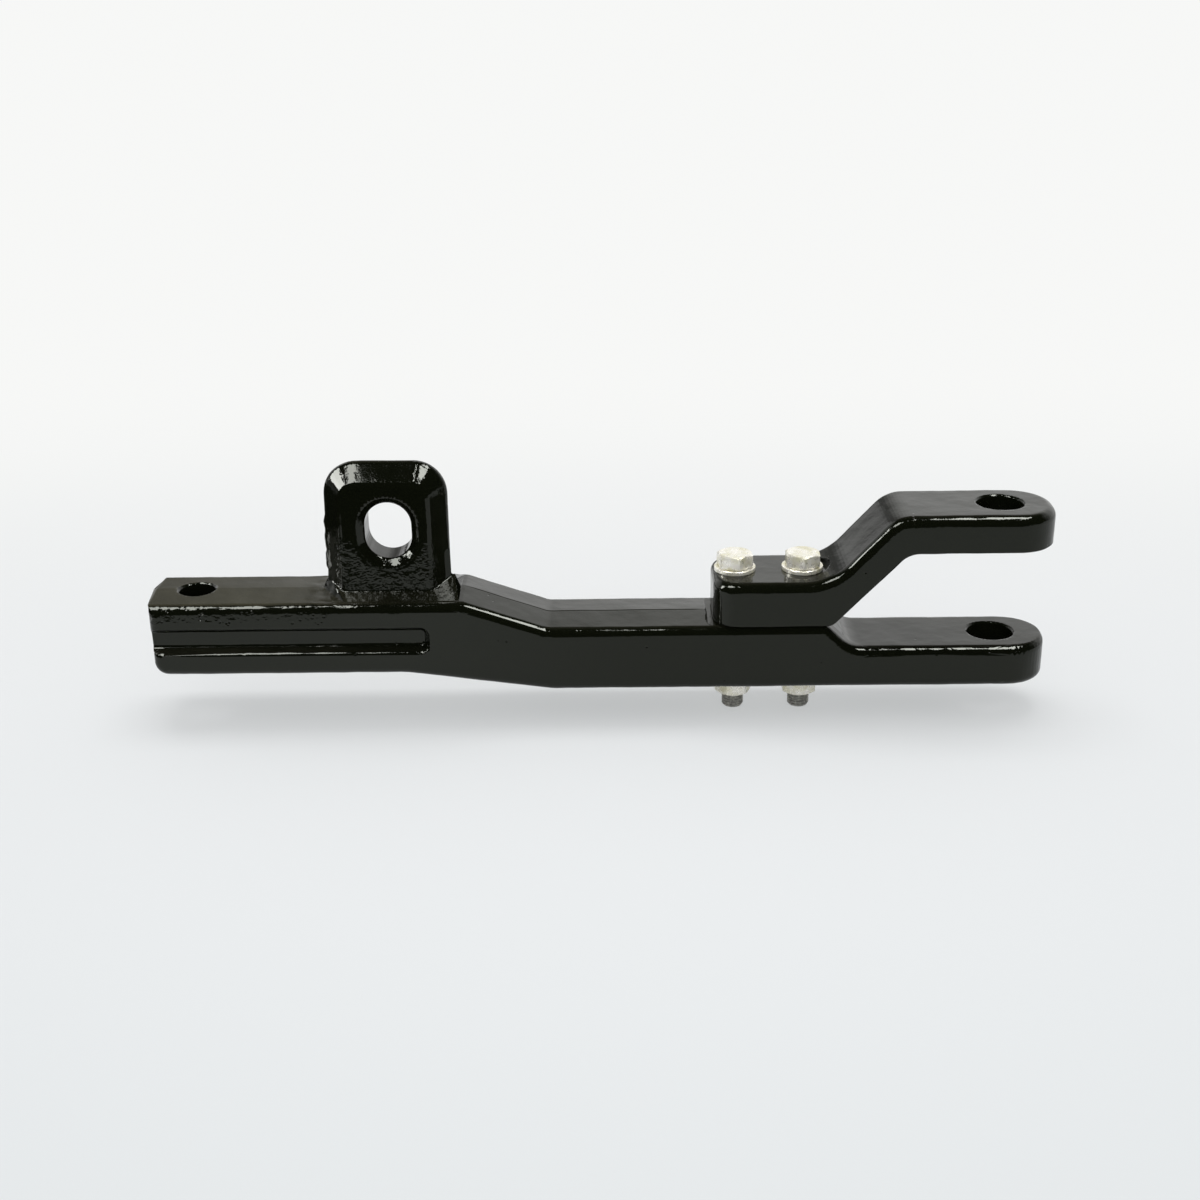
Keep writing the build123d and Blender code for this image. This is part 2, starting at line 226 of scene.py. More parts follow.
class Shading(Wiring):
    """The node tree of a new material, with patterns on the piece's own coordinates."""

    def __init__(self, name: str) -> None:
        """Starts a material.

        Args:
            name: Name of the material.
        """
        self.material = bpy.data.materials.new(name)
        self.material.use_nodes = True
        super().__init__(self.material.node_tree)
        self.shader = self.tree.nodes["Principled BSDF"]
        self.place = self.node("ShaderNodeTexCoord").outputs["Object"]

    def noise(
        self, grain: float, detail: float = 2.0, rough: float = 0.5, stretch: tuple = (1, 1, 1)
    ) -> bpy.types.NodeSocket:
        """Fractal noise on the piece's own coordinates.

        Args:
            grain: Size of its largest features, in metres.
            detail: Octaves.
            rough: Weight of each next octave.
            stretch: Factors on the three coordinates.

        Returns:
            Its value, between 0 and 1.
        """
        mapping = self.node("ShaderNodeMapping")
        self.feed(mapping.inputs["Vector"], self.place)
        mapping.inputs["Scale"].default_value = stretch
        node = self.node("ShaderNodeTexNoise")
        self.feed(node.inputs["Vector"], mapping.outputs[0])
        node.inputs["Scale"].default_value = 1 / grain
        node.inputs["Detail"].default_value = detail
        node.inputs["Roughness"].default_value = rough
        return node.outputs["Fac"]

    def cells(self, grain: float) -> bpy.types.NodeSocket:
        """Distance to the nearest of a scatter of points.

        Args:
            grain: Size of a point's cell, in metres.

        Returns:
            The distance, with a cell as its unit.
        """
        node = self.node("ShaderNodeTexVoronoi", feature="F1")
        self.feed(node.inputs["Vector"], self.place)
        node.inputs["Scale"].default_value = 1 / grain
        return node.outputs["Distance"]

    def blend(self, share: object, first: object, second: object) -> bpy.types.NodeSocket:
        """Mixes two colours.

        Args:
            share: Share of the second, as a socket or number.
            first: Colour or socket.
            second: Colour or socket.

        Returns:
            The mixed colour.
        """
        node = self.node("ShaderNodeMix", data_type="RGBA")
        self.feed(node.inputs[0], share)
        for socket, colour in ((node.inputs[6], first), (node.inputs[7], second)):
            self.feed(socket, colour if isinstance(colour, bpy.types.NodeSocket) else (*colour, 1))
        return node.outputs[2]

    def bump(
        self, height: bpy.types.NodeSocket, depth: float, under: bpy.types.NodeSocket | None = None
    ) -> bpy.types.NodeSocket:
        """Adds a Bump node.

        Args:
            height: Height field, 0 to 1.
            depth: Height of 1, in metres.
            under: Normal socket of the relief below it.

        Returns:
            The normal socket.
        """
        node = self.node("ShaderNodeBump")
        node.inputs["Strength"].default_value = 1.0
        node.inputs["Distance"].default_value = depth
        self.feed(node.inputs["Height"], height)
        if under is not None:
            self.feed(node.inputs["Normal"], under)
        return node.outputs[0]

    def split(self) -> list[bpy.types.NodeSocket]:
        """Splits the piece's own coordinates.

        Returns:
            X, Y and Z.
        """
        return self.parts(self.place)

    def within(self, low: tuple, high: tuple, fade: float) -> bpy.types.NodeSocket:
        """Share of a place in a box that is mirrored in Y.

        Args:
            low: Its low corner, with Y as a distance from the plane of symmetry.
            high: Its high corner.
            fade: Width over which it fades, half of it inside.

        Returns:
            The share, 1 inside and 0 outside.
        """
        x, y, z = self.split()
        shares = []
        for value, start, end in zip((x, self.maths("ABSOLUTE", y), z), low, high):
            rise = self.ramp(value, start - fade / 2, start + fade / 2)
            fall = self.ramp(value, end - fade / 2, end + fade / 2, 1.0, 0.0)
            shares.append(self.product(rise, fall))
        return self.product(*shares)


@dataclass(frozen=True)
class GlossPaint:
    """Thick gloss black paint over a forged skin."""

    name: str
    worn: bool = False
    black: tuple = (0.0028, 0.0034, 0.0016)
    dust: tuple = (0.105, 0.098, 0.066)
    tint: tuple = (0.97, 1.0, 0.91)
    ior: float = 1.40
    gloss: float = 0.055
    dull: float = 0.13
    film: float = 0.06
    front_film: float = 0.36
    film_change: tuple = (0.05, 0.16)
    level: tuple = (0.80, 0.99)
    dust_grain: float = 40 * MM
    dust_range: tuple = (0.25, 0.70)
    dust_amount: tuple = (0.75, 1.05)
    dull_grain: float = 35 * MM
    dull_range: tuple = (0.42, 0.68)
    patch_dull: float = 0.5
    dust_dull: float = 2.2
    lumps: float = 0.14 * MM
    lump_grain: float = 9 * MM
    orange_peel: float = 0.035 * MM
    peel_grain: float = 1.6 * MM
    pits: float = 0.45 * MM
    pit_grain: float = 9 * MM
    pit_rim: tuple = (0.05, 0.13)
    pit_groups: float = 26 * MM
    pit_group_range: tuple = (0.60, 0.68)
    scale_marks: float = 0.80 * MM
    scale_grain: float = 3.6 * MM
    scale_stretch: tuple = (0.7, 1, 1)
    scale_thins: tuple = (-0.02, 0.09)
    scale_at_lug: float = 0.45
    scale_pit_grain: float = 4.5 * MM
    scale_pit_rim: tuple = (0.14, 0.32)
    scale_pit_groups: float = 12 * MM
    scale_pit_group_range: tuple = (0.42, 0.50)
    scale_pit_depth: float = 1.6
    hammer_marks: float = 0.50 * MM
    hammer_grain: float = 4.6 * MM
    hammer_stretch: tuple = (1, 1, 1.2)
    hammer_range: tuple = (0.28, 0.72)
    hammer_groups: float = 18 * MM
    hammer_group_range: tuple = (0.30, 0.60)
    hammer_least: float = 0.45
    eye_clear: tuple = (1.05, 1.40)
    die_step: float = 0.32 * MM
    die_step_width: float = 1.8 * MM
    die_step_start: tuple = (0.190, 0.205)
    die_step_end: tuple = (0.360, 0.375)
    corner_turn: float = 1.2
    corner_ridge: float = 2 * MM
    corner_slope: tuple = (0.38, 0.50)

    def relief(self, s: Shading) -> bpy.types.NodeSocket:
        """Relief of the paint: flow marks and orange peel, with pits and hammer marks in places.

        Args:
            s: Material being wired.

        Returns:
            The normal.
        """
        skin = self.foot_corner(s) if self.worn else None
        normal = s.bump(s.noise(self.lump_grain, detail=3, rough=0.55), self.lumps, skin)
        normal = s.bump(s.noise(self.peel_grain), self.orange_peel, normal)
        drops = s.ramp(s.cells(self.pit_grain), *self.pit_rim, 1.0, 0.0)
        holes = s.product(drops, s.ramp(s.noise(self.pit_groups), *self.pit_group_range))
        if self.worn:
            land = self.land(s)
            scale = s.noise(self.scale_grain, stretch=self.scale_stretch)
            normal = s.bump(s.product(scale, land), self.scale_marks, normal)
            holes = s.maths("MAXIMUM", holes, s.product(self.scale_pits(s), land))
            dents = s.product(self.hammered(s), self.lower_face(s))
            normal = s.bump(dents, self.hammer_marks, normal)
            normal = s.bump(self.parting_line(s), self.die_step, normal)
        return s.bump(s.maths("SUBTRACT", 1.0, holes), self.pits, normal)

    def land(self, s: Shading) -> bpy.types.NodeSocket:
        """Share of the land above the groove, where forging scale was pressed in.

        Args:
            s: Material being wired.

        Returns:
            The share, less towards the lug.
        """
        x, _, _ = s.split()
        thins = s.ramp(x, *self.scale_thins, 1.0, self.scale_at_lug)
        return s.product(s.within(*LAND_ABOVE_GROOVE), thins)

    def scale_pits(self, s: Shading) -> bpy.types.NodeSocket:
        """Pits that the scale left, in groups.

        Args:
            s: Material being wired.

        Returns:
            Their depth.
        """
        spots = s.ramp(s.cells(self.scale_pit_grain), *self.scale_pit_rim, 1.0, 0.0)
        groups = s.ramp(s.noise(self.scale_pit_groups), *self.scale_pit_group_range)
        return s.product(spots, groups, self.scale_pit_depth)

    def foot_corner(self, s: Shading) -> bpy.types.NodeSocket:
        """Normal of the skin, turned to the sides where paint rounds the rear end of the lug's foot.

        Args:
            s: Material being wired.

        Returns:
            The normal.
        """
        skin = s.node("ShaderNodeNewGeometry").outputs["Normal"]
        back, _, _ = s.parts(skin)
        _, y, _ = s.split()
        share = s.product(s.within(*FOOT_END), s.ramp(back, *self.corner_slope))
        ridge, turned_by = self.corner_ridge, self.corner_turn
        outward = s.ramp(y, -ridge, ridge, -turned_by, turned_by)
        turn = s.node("ShaderNodeCombineXYZ")
        s.feed(turn.inputs[1], s.product(share, outward))
        both = s.node("ShaderNodeVectorMath", operation="ADD")
        s.feed(both.inputs[0], skin)
        s.feed(both.inputs[1], turn.outputs[0])
        unit = s.node("ShaderNodeVectorMath", operation="NORMALIZE")
        s.feed(unit.inputs[0], both.outputs[0])
        return unit.outputs[0]

    def hammered(self, s: Shading) -> bpy.types.NodeSocket:
        """Soft uneven dents of the unfinished lower half of the lug's faces.

        Args:
            s: Material being wired.

        Returns:
            Their height.
        """
        dents = s.ramp(s.noise(self.hammer_grain, stretch=self.hammer_stretch), *self.hammer_range)
        groups = s.noise(self.hammer_groups, detail=1)
        return s.product(dents, s.ramp(groups, *self.hammer_group_range, self.hammer_least, 1.0))

    def lower_face(self, s: Shading) -> bpy.types.NodeSocket:
        """Share of the lug's faces below and beside the eye, outside its mouth.

        Args:
            s: Material being wired.

        Returns:
            The share.
        """
        x, _, z = s.split()
        squares = []
        for value, centre, half in zip((x, z), EYE_CENTRE, EYE_MOUTH):
            part = s.maths("DIVIDE", s.maths("SUBTRACT", value, centre), half)
            squares.append(s.product(part, part))
        clear = s.ramp(s.maths("ADD", *squares), *self.eye_clear)
        return s.product(s.within(*LUG_FACE), clear)

    def parting_line(self, s: Shading) -> bpy.types.NodeSocket:
        """The small step between the two die halves, on the ridge between the lug and the jaw.

        Args:
            s: Material being wired.

        Returns:
            Its height.
        """
        x, y, _ = s.split()
        step = s.ramp(y, -self.die_step_width / 2, self.die_step_width / 2)
        rise = s.ramp(x, *self.die_step_start)
        fall = s.ramp(x, *self.die_step_end, 1.0, 0.0)
        return s.product(step, s.product(rise, fall))

    def make(self) -> bpy.types.Material:
        """Builds the paint, with its relief and the dust on what faces up.

        Returns:
            The material.
        """
        s = Shading(self.name)
        _, _, up = s.parts(s.node("ShaderNodeNewGeometry").outputs["Normal"])
        share = self.film
        if self.worn:
            share = s.ramp(s.split()[0], *self.film_change, self.front_film, self.film)
        spread = s.noise(self.dust_grain, detail=4, rough=0.6)
        uneven = s.ramp(spread, *self.dust_range, *self.dust_amount)
        dusty = s.product(s.ramp(up, *self.level), uneven, share)
        s.feed(s.shader.inputs["Base Color"], s.blend(dusty, self.black, self.dust))
        patches = s.ramp(s.noise(self.dull_grain, detail=3, rough=0.6), *self.dull_range)
        dull = s.maths("MAXIMUM", s.product(patches, self.patch_dull), s.product(dusty, self.dust_dull))
        s.feed(s.shader.inputs["Roughness"], s.ramp(dull, 0.0, 1.0, self.gloss, self.dull))
        s.shader.inputs["IOR"].default_value = self.ior
        s.shader.inputs["Specular Tint"].default_value = (*self.tint, 1)
        s.feed(s.shader.inputs["Normal"], self.relief(s))
        return s.material


@dataclass(frozen=True)
class ZincPlate:
    """Passivated zinc plating, pale yellow with darker stains."""

    name: str
    pale: tuple = (0.92, 0.90, 0.83)
    stained: tuple = (0.70, 0.67, 0.49)
    metal: float = 0.60
    gloss: float = 0.24
    dull: float = 0.38
    stain_grain: float = 7 * MM
    stain_range: tuple = (0.35, 0.72)
    dull_grain: float = 3 * MM
    dull_range: tuple = (0.3, 0.7)
    scratches: float = 0.010 * MM
    scratch_grain: float = 1.2 * MM
    scratch_stretch: tuple = (1, 1, 6)
    waves: float = 0.035 * MM
    wave_grain: float = 6 * MM

    def make(self) -> bpy.types.Material:
        """Builds the plating.

        Returns:
            The material.
        """
        s = Shading(self.name)
        stains = s.ramp(s.noise(self.stain_grain, detail=4, rough=0.6), *self.stain_range)
        s.feed(s.shader.inputs["Base Color"], s.blend(stains, self.pale, self.stained))
        s.shader.inputs["Metallic"].default_value = self.metal
        dull = s.ramp(s.noise(self.dull_grain, detail=3), *self.dull_range, self.gloss, self.dull)
        s.feed(s.shader.inputs["Roughness"], dull)
        lines = s.noise(self.scratch_grain, detail=3, rough=0.6, stretch=self.scratch_stretch)
        scratches = s.bump(lines, self.scratches)
        waves = s.bump(s.noise(self.wave_grain), self.waves, scratches)
        s.feed(s.shader.inputs["Normal"], waves)
        return s.material


@dataclass(frozen=True)
class DarkThread:
    """Phosphated steel of the bolt ends, oily and grey-black."""

    name: str
    dark: tuple = (0.26, 0.26, 0.24)
    worn: tuple = (0.62, 0.61, 0.56)
    metal: float = 0.6
    gloss: float = 0.34
    dull: float = 0.5
    wear_grain: float = 2.5 * MM
    wear_range: tuple = (0.45, 0.75)
    crystals: float = 0.03 * MM
    crystal_grain: float = 0.8 * MM

    def make(self) -> bpy.types.Material:
        """Builds the steel.

        Returns:
            The material.
        """
        s = Shading(self.name)
        wear = s.ramp(s.noise(self.wear_grain, detail=4, rough=0.65), *self.wear_range)
        s.feed(s.shader.inputs["Base Color"], s.blend(wear, self.dark, self.worn))
        s.shader.inputs["Metallic"].default_value = self.metal
        s.feed(s.shader.inputs["Roughness"], s.ramp(wear, 0.0, 1.0, self.dull, self.gloss))
        s.feed(s.shader.inputs["Normal"], s.bump(s.noise(self.crystal_grain, detail=3), self.crystals))
        return s.material


@dataclass(frozen=True)
class PaleSheet:
    """Matt white sheet that the part stands on, running out into the white backdrop."""

    name: str
    white: tuple = (0.66, 0.67, 0.68)
    backdrop: tuple = (0.93, 0.935, 0.925)
    ahead: tuple = (0.765, 0.795, 0.805)
    dark: tuple = (0.012, 0.013, 0.012)
    rough: float = 0.9
    shine: float = 0.1
    depth: tuple = (-0.6, 1.0)
    middle: float = 0.29
    narrowing: float = 0.5
    glow: float = 0.48
    near: float = 0.16
    far: float = 0.75
    right: tuple = (0.12, 0.36)
    dim_right: float = 0.20
    front: float = -0.328
    front_right: float = -0.64
    front_change: tuple = (0.20, 0.42)
    left: float = -0.24
    fade: float = 0.04

    def make(self) -> bpy.types.Material:
        """Builds the sheet.

        It glows a little, and shades into the evenly lit backdrop far from the part. In the paint's mirror
        image it is painted dark in front, on the left and partly on the right, a painted reflection of a
        dark room.

        Returns:
            The material.
        """
        s = Shading(self.name)
        s.shader.inputs["Base Color"].default_value = (*self.white, 1)
        s.shader.inputs["Roughness"].default_value = self.rough
        s.shader.inputs["Specular IOR Level"].default_value = self.shine
        path = s.node("ShaderNodeLightPath")
        mirrored = path.outputs["Is Glossy Ray"]
        seen = s.maths("MAXIMUM", path.outputs["Is Camera Ray"], mirrored)
        x, y, _ = s.split()
        along = s.product(s.maths("SUBTRACT", x, self.middle), self.narrowing)
        away = s.maths("SQRT", s.maths("ADD", s.product(along, along), s.product(y, y)))
        glowing = s.product(s.ramp(away, self.near, self.far, self.glow, 1.0), seen)
        # painted reflection: for glossy rays the sheet is painted dark in front of its edge, left of the
        # part and partly on the right
        edge = s.maths("SUBTRACT", y, s.ramp(x, *self.front_change, self.front, self.front_right))
        in_front = s.ramp(edge, -self.fade / 2, self.fade / 2, 1.0, 0.0)
        dark_in_mirror = s.maths("MAXIMUM", in_front, s.ramp(x, *self.right, 0.0, self.dim_right))
        on_left = s.ramp(x, self.left - self.fade, self.left + self.fade, 1.0, 0.0)
        painted_dark_share = s.product(s.maths("MAXIMUM", dark_in_mirror, on_left), mirrored)
        pale = s.blend(s.ramp(y, *self.depth), self.ahead, self.backdrop)
        surface = s.shader.outputs[0]
        for share, colour in ((glowing, pale), (painted_dark_share, (*self.dark, 1))):
            glow = s.node("ShaderNodeEmission")
            s.feed(glow.inputs["Color"], colour)
            mix = s.node("ShaderNodeMixShader")
            s.feed(mix.inputs[0], share)
            s.feed(mix.inputs[1], surface)
            s.feed(mix.inputs[2], glow.outputs[0])
            surface = mix.outputs[0]
        s.feed(s.tree.nodes["Material Output"].inputs["Surface"], surface)
        return s.material


# ---------------------------------------------------------------- mesh helpers


def merged_copy(node: str) -> bmesh.types.BMesh:
    """A copy of a solid's mesh with its loose triangles joined.

    Args:
        node: Name of the node.

    Returns:
        The mesh, for editing.
    """
    bm = bmesh.new()
    bm.from_mesh(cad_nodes[node].data)
    bmesh.ops.remove_doubles(bm, verts=bm.verts, dist=MERGE)
    bmesh.ops.dissolve_degenerate(bm, dist=MERGE / 2, edges=bm.edges)
    return bm


def slice_to_cells(
    bm: bmesh.types.BMesh, faces: list[bmesh.types.BMFace], axis: Axis, low: float, high: float, cell: float
) -> None:
    """Cuts faces by parallel planes, halving the stretch until the slabs are thin enough.

    Args:
        bm: Mesh to cut.
        faces: Its faces within the stretch.
        axis: Direction across the planes.
        low: Start of the stretch.
        high: End of the stretch.
        cell: Greatest distance between planes.
    """
    if high - low <= cell or not faces:
        return
    middle = (low + high) / 2
    across = Vector((0, 0, 0))
    across[axis.value] = 1.0
    crossing = [
        f
        for f in faces
        if min(v.co[axis.value] for v in f.verts) < middle < max(v.co[axis.value] for v in f.verts)
    ]
    cut = set(faces)
    if crossing:
        edges = {e for f in crossing for e in f.edges}
        verts = {v for f in crossing for v in f.verts}
        made = bmesh.ops.bisect_plane(
            bm, geom=[*crossing, *edges, *verts], dist=ON_CUT, plane_co=across * middle, plane_no=across
        )
        cut |= {g for g in made["geom"] if isinstance(g, bmesh.types.BMFace)}
    below, above = [], []
    for f in cut:
        side = below if f.calc_center_bounds()[axis.value] < middle else above
        side.append(f)
    slice_to_cells(bm, below, axis, low, middle, cell)
    slice_to_cells(bm, above, axis, middle, high, cell)


def round_edges(bm: bmesh.types.BMesh, low: tuple, high: tuple, radius: float) -> None:
    """Rounds the sharp edges of a mesh that lie in a box mirrored in Y.

    Args:
        bm: Mesh to change.
        low: Low corner of the box, with Y as a distance from the plane of symmetry.
        high: High corner of the box.
        radius: Radius of the rounding.
    """

    def inside(place: Vector) -> bool:
        """Tells whether a place is in the box.

        Args:
            place: The place.

        Returns:
            True inside.
        """
        values = (place.x, abs(place.y), place.z)
        return all(a <= value <= b for value, a, b in zip(values, low, high))

    def sharp() -> list[bmesh.types.BMEdge]:
        """Finds the sharp edges in the box.

        Returns:
            The edges.
        """
        ridges = [e for e in bm.edges if e.is_manifold and e.calc_face_angle() > SHARP]
        return [e for e in ridges if all(inside(v.co) for v in e.verts)]

    beside = {f for e in sharp() for f in e.link_faces}
    verts = list({v for f in beside for v in f.verts})
    edges = list({e for f in beside for e in f.edges})
    bmesh.ops.dissolve_limit(bm, angle_limit=FLAT, verts=verts, edges=edges)
    bmesh.ops.bevel(
        bm, geom=sharp(), offset=radius, offset_type="OFFSET", segments=4, profile=0.5, affect="EDGES"
    )


def as_piece(bm: bmesh.types.BMesh, name: str, *finishes: bpy.types.Material) -> bpy.types.Object:
    """Turns a mesh into a smooth-shaded piece of the part.

    Args:
        bm: Mesh, which is freed.
        name: Name of the piece.
        finishes: Its materials, by index.

    Returns:
        The object.
    """
    mesh = bpy.data.meshes.new(name)
    bm.to_mesh(mesh)
    bm.free()
    for finish in finishes:
        mesh.materials.append(finish)
    piece = bpy.data.objects.new(name, mesh)
    bpy.context.scene.collection.objects.link(piece)
    mesh.shade_smooth()
    return piece


def even_normals(piece: bpy.types.Object, crease: float) -> None:
    """Keeps flats flat beside their rounded edges and creases sharper ones.

    Args:
        piece: Object to shade.
        crease: Angle above which an edge stays sharp, in degrees.
    """
    piece.data.set_sharp_from_angle(angle=math.radians(crease))
    weighted = piece.modifiers.new("even_normals", "WEIGHTED_NORMAL")
    weighted.keep_sharp = True
    weighted.weight = FLAT_WEIGHT


def settle(piece: bpy.types.Object, slot: Slot, *nodes: str) -> None:
    """Places a finished piece on the body, in place of its solids.

    Args:
        piece: The piece.
        slot: Slot of the record that its finish stands for. It is not used.
        nodes: Solids that it replaces.
    """
    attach(piece, BODY)
    if nodes:
        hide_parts(*nodes)
    log.info("%s: %d faces", piece.name, len(piece.data.polygons))


# ---------------------------------------------------------------- the part


@dataclass(frozen=True)
class Patch:
    """A stretch of a forging's skin, mirrored in Y, with its own lumps."""

    low: tuple
    high: tuple
    fade: float
    lumps: float
    grain: float
    lift: float = 0.0

    def height(self, place: Vector) -> float:
        """Height that the patch adds to the skin.

        Args:
            place: A place on the solid.

        Returns:
            The height there.
        """
        share = 1.0
        for value, low, high in zip((place.x, abs(place.y), place.z), self.low, self.high):
            inside = min(value - low, high - value) / self.fade
            share *= min(max(inside + 0.5, 0.0), 1.0)
        if share == 0.0:
            return 0.0
        return share * (self.lift + self.lumps * noise.fractal(place / self.grain, 1.0, 2.0, 2))


@dataclass
class Forging:
    """A painted forging: a solid's skin, cut into small cells and made slightly uneven."""

    node: str
    finish: bpy.types.Material
    crease: float
    patches: tuple[Patch, ...] = ()
    rims: tuple[tuple[tuple, tuple, float], ...] = ()
    eye: bool = False
    cell: float = 3.0 * MM
    swell: float = 0.22 * MM
    swell_grain: float = 28 * MM
    ripple: float = 0.07 * MM
    ripple_grain: float = 7 * MM
    ripple_shift: Vector = field(default_factory=lambda: Vector((3, 1, 2)))
    eye_fade: float = 0.5

    def off_eye(self, place: Vector) -> float:
        """Share of the unevenness that is left beside the machined eye.

        Args:
            place: A place on the solid.

        Returns:
            The share, 0 at the eye's mouth and 1 well away from it.
        """
        if not self.eye:
            return 1.0
        (x, z), (wide, tall) = EYE_CENTRE, EYE_SURROUND
        away = ((place.x - x) / wide) ** 2 + ((place.z - z) / tall) ** 2
        return min(max((away - 1.0) / self.eye_fade, 0.0), 1.0)

    def unevenness(self, place: Vector) -> float:
        """Height of the forged skin over the solid.

        Args:
            place: A place on the solid.

        Returns:
            The height there.
        """
        broad = noise.fractal(place / self.swell_grain, 1.0, 2.0, 2)
        fine = noise.fractal(place / self.ripple_grain + self.ripple_shift, 1.0, 2.0, 2)
        local = sum(patch.height(place) for patch in self.patches)
        return (self.swell * broad + self.ripple * fine + local) * self.off_eye(place)

    def build(self) -> None:
        """Builds the skin and puts it in place of the solid."""
        bm = merged_copy(self.node)
        for rim in self.rims:
            round_edges(bm, *rim)
        low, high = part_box(self.node)
        for axis in Axis:
            i = axis.value
            slice_to_cells(bm, list(bm.faces), axis, low[i], high[i], self.cell)
        bm.normal_update()
        for v in bm.verts:
            v.co += v.normal * self.unevenness(v.co)
        bmesh.ops.triangulate(bm, faces=bm.faces)
        piece = as_piece(bm, f"{self.node}_skin", self.finish)
        even_normals(piece, self.crease)
        settle(piece, Slot.PAINT, self.node)


@dataclass(frozen=True)
class Outline:
    """A closed outline round the axis of a fastener: a circle, or a hexagon with eased corners."""

    radius: float
    turn: float | None = None
    ease: float = 0.22 * MM

    def reach(self, angle: float) -> float:
        """Distance of the outline from the axis.

        Args:
            angle: Direction from the axis.

        Returns:
            The distance in that direction.
        """
        if self.turn is None:
            return self.radius
        sixth = math.radians(60)
        off_flat = (angle - self.turn) % sixth - sixth / 2
        return min(self.radius / math.cos(off_flat), self.radius / math.cos(sixth / 2) - self.ease)


@dataclass(frozen=True)
class Ring:
    """One ring of a fastener: its outline, its height and how far it falls away outside a radius."""

    outline: Outline
    height: float
    falls: float = 0.0
    level_to: float = 0.0


def turned(rings: list[Ring], segments: int = 96) -> bmesh.types.BMesh:
    """A skin carried from ring to ring round the Z axis.

    Args:
        rings: The rings in order; the last is closed off by a flat.
        segments: Corners of each ring.

    Returns:
        The mesh.
    """
    bm = bmesh.new()
    bmesh.ops.create_circle(bm, segments=segments, radius=rings[0].outline.radius)
    edges = list(bm.edges)
    verts = list(bm.verts)
    for number, ring in enumerate(rings):
        if number:
            made = bmesh.ops.extrude_edge_only(bm, edges=edges)["geom"]
            edges = [g for g in made if isinstance(g, bmesh.types.BMEdge) and g.is_boundary]
            verts = [g for g in made if isinstance(g, bmesh.types.BMVert)]
        for v in verts:
            angle = math.atan2(v.co.y, v.co.x)
            reach = ring.outline.reach(angle)
            drop = ring.falls * max(reach - ring.level_to, 0.0)
            v.co = (reach * math.cos(angle), reach * math.sin(angle), ring.height - drop)
    bmesh.ops.edgeloop_fill(bm, edges=edges)
    bmesh.ops.recalc_face_normals(bm, faces=bm.faces)
    return bm


